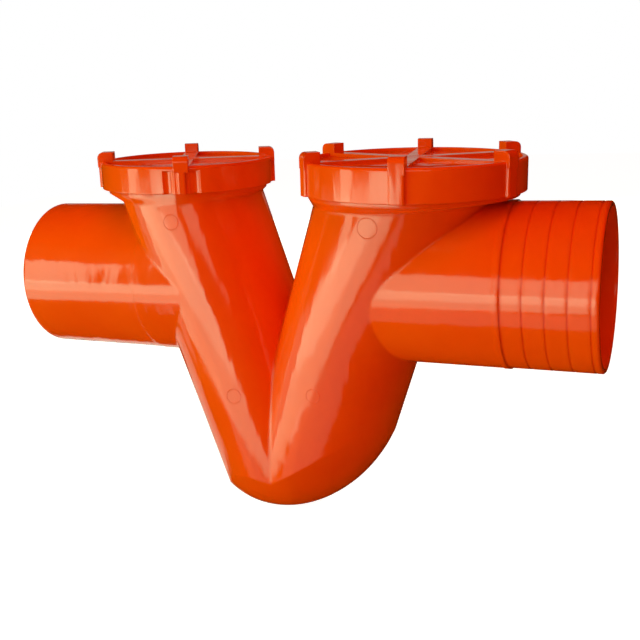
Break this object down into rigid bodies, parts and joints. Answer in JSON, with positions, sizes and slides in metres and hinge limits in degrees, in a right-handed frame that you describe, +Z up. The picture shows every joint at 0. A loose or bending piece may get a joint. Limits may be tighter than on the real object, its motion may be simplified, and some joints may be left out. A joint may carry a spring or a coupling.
{
  "type": "pvc drain trap with two screw access caps",
  "caption": "Hollow V-shaped running trap for a horizontal drain pipe, with a level pipe stub on each side and a lugged screw access cap over each leg.",
  "frame": {"origin": "centre of the outlet stub's open end, on the stub's axis", "axes": "+X along the pipe run from the outlet to the inlet, +Z up out of the caps, +Y to the back"},
  "size_m": [0.422, 0.154, 0.273],
  "materials": {
    "orange_pvc": "glossy injection-moulded orange PVC",
    "seal_rubber": "black sealing rubber"
  },
  "bodies": {
    "trap": {"trap_body": "orange_pvc"},
    "outlet_seal_ring": {"outlet_seal": "seal_rubber"},
    "outlet_screw_cap": {"outlet_cap": "orange_pvc"},
    "inlet_seal_ring": {"inlet_seal": "seal_rubber"},
    "inlet_screw_cap": {"inlet_cap": "orange_pvc"}
  },
  "joints": [
    {"name": "outlet_lift", "type": "slide", "parent": "trap", "child": "outlet_seal_ring", "axis": [0.0279, 0, 0.9996], "range_m": [0, 0.012]},
    {"name": "outlet_turn", "type": "hinge", "parent": "outlet_seal_ring", "child": "outlet_screw_cap", "pos_m": [0.1201, 0, 0.0795], "axis": [0.0279, 0, 0.9996], "range_deg": [0, 720]},
    {"name": "inlet_lift", "type": "slide", "parent": "trap", "child": "inlet_seal_ring", "axis": [0.0279, 0, 0.9996], "range_m": [0, 0.012]},
    {"name": "inlet_turn", "type": "hinge", "parent": "inlet_seal_ring", "child": "inlet_screw_cap", "pos_m": [0.2941, 0, 0.07605], "axis": [0.0279, 0, 0.9996], "range_deg": [0, 720]}
  ],
  "couplings": [
    {"joint": "outlet_lift", "follows": "outlet_turn", "m_per_rad": 0.0009549},
    {"joint": "inlet_lift", "follows": "inlet_turn", "m_per_rad": 0.0009549}
  ]
}
